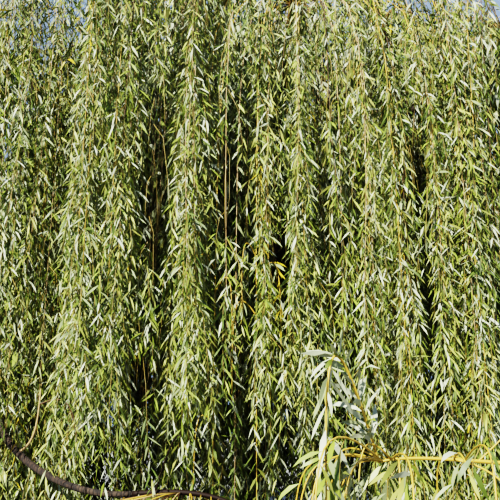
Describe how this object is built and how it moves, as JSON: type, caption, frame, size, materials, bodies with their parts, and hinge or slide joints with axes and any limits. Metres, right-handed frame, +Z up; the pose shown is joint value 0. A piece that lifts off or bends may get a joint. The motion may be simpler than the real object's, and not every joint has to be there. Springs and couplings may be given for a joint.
{
  "type": "weeping willow tree",
  "caption": "Weeping tree: a short flared trunk, arching boughs and a domed crown of long hanging leafy twigs that fall in curtains almost to the ground all round.",
  "frame": {"origin": "middle of the flat cut under the trunk, at ground level", "axes": "+Z up, -Y towards the side that the picture shows, +X to the right of that view"},
  "size_m": [9.6617, 11.3645, 7.69],
  "materials": {
    "trunk_bark": "grey-brown furrowed bark",
    "bough_bark": "brown bark, yellower towards the tips",
    "foliage": "narrow green and silver-green leaves on golden twigs"
  },
  "bodies": {
    "root": {"trunk": "trunk_bark", "leader": "bough_bark", "bough_1": "bough_bark", "bough_2": "bough_bark", "bough_3": "bough_bark", "bough_4": "bough_bark", "bough_5": "bough_bark", "outer_branch_1": "bough_bark", "outer_branch_2": "bough_bark", "outer_branch_3": "bough_bark", "outer_branch_4": "bough_bark", "outer_branch_5": "bough_bark", "shoulder_branch_1": "bough_bark", "shoulder_branch_2": "bough_bark", "shoulder_branch_3": "bough_bark", "shoulder_branch_4": "bough_bark", "shoulder_branch_5": "bough_bark", "shoulder_branch_6": "bough_bark", "upper_branch_1": "bough_bark", "upper_branch_2": "bough_bark", "upper_branch_3": "bough_bark", "upper_branch_4": "bough_bark", "low_bough": "bough_bark", "low_bough_end": "bough_bark", "near_bough": "bough_bark", "near_bough_end": "bough_bark", "crown_cascade": "foliage", "upper_cascade_1": "foliage", "upper_cascade_2": "foliage", "upper_cascade_3": "foliage", "upper_cascade_4": "foliage", "shoulder_cascade_1": "foliage", "shoulder_cascade_2": "foliage", "shoulder_cascade_3": "foliage", "shoulder_cascade_4": "foliage", "shoulder_cascade_5": "foliage", "shoulder_cascade_6": "foliage", "curtain_cascade_1": "foliage", "curtain_cascade_2": "foliage", "curtain_cascade_3": "foliage", "curtain_cascade_4": "foliage", "curtain_cascade_5": "foliage", "curtain_cascade_6": "foliage", "curtain_cascade_7": "foliage", "curtain_cascade_8": "foliage", "curtain_cascade_9": "foliage", "curtain_cascade_10": "foliage", "low_cascade": "foliage", "near_cascade": "foliage"}
  },
  "joints": []
}
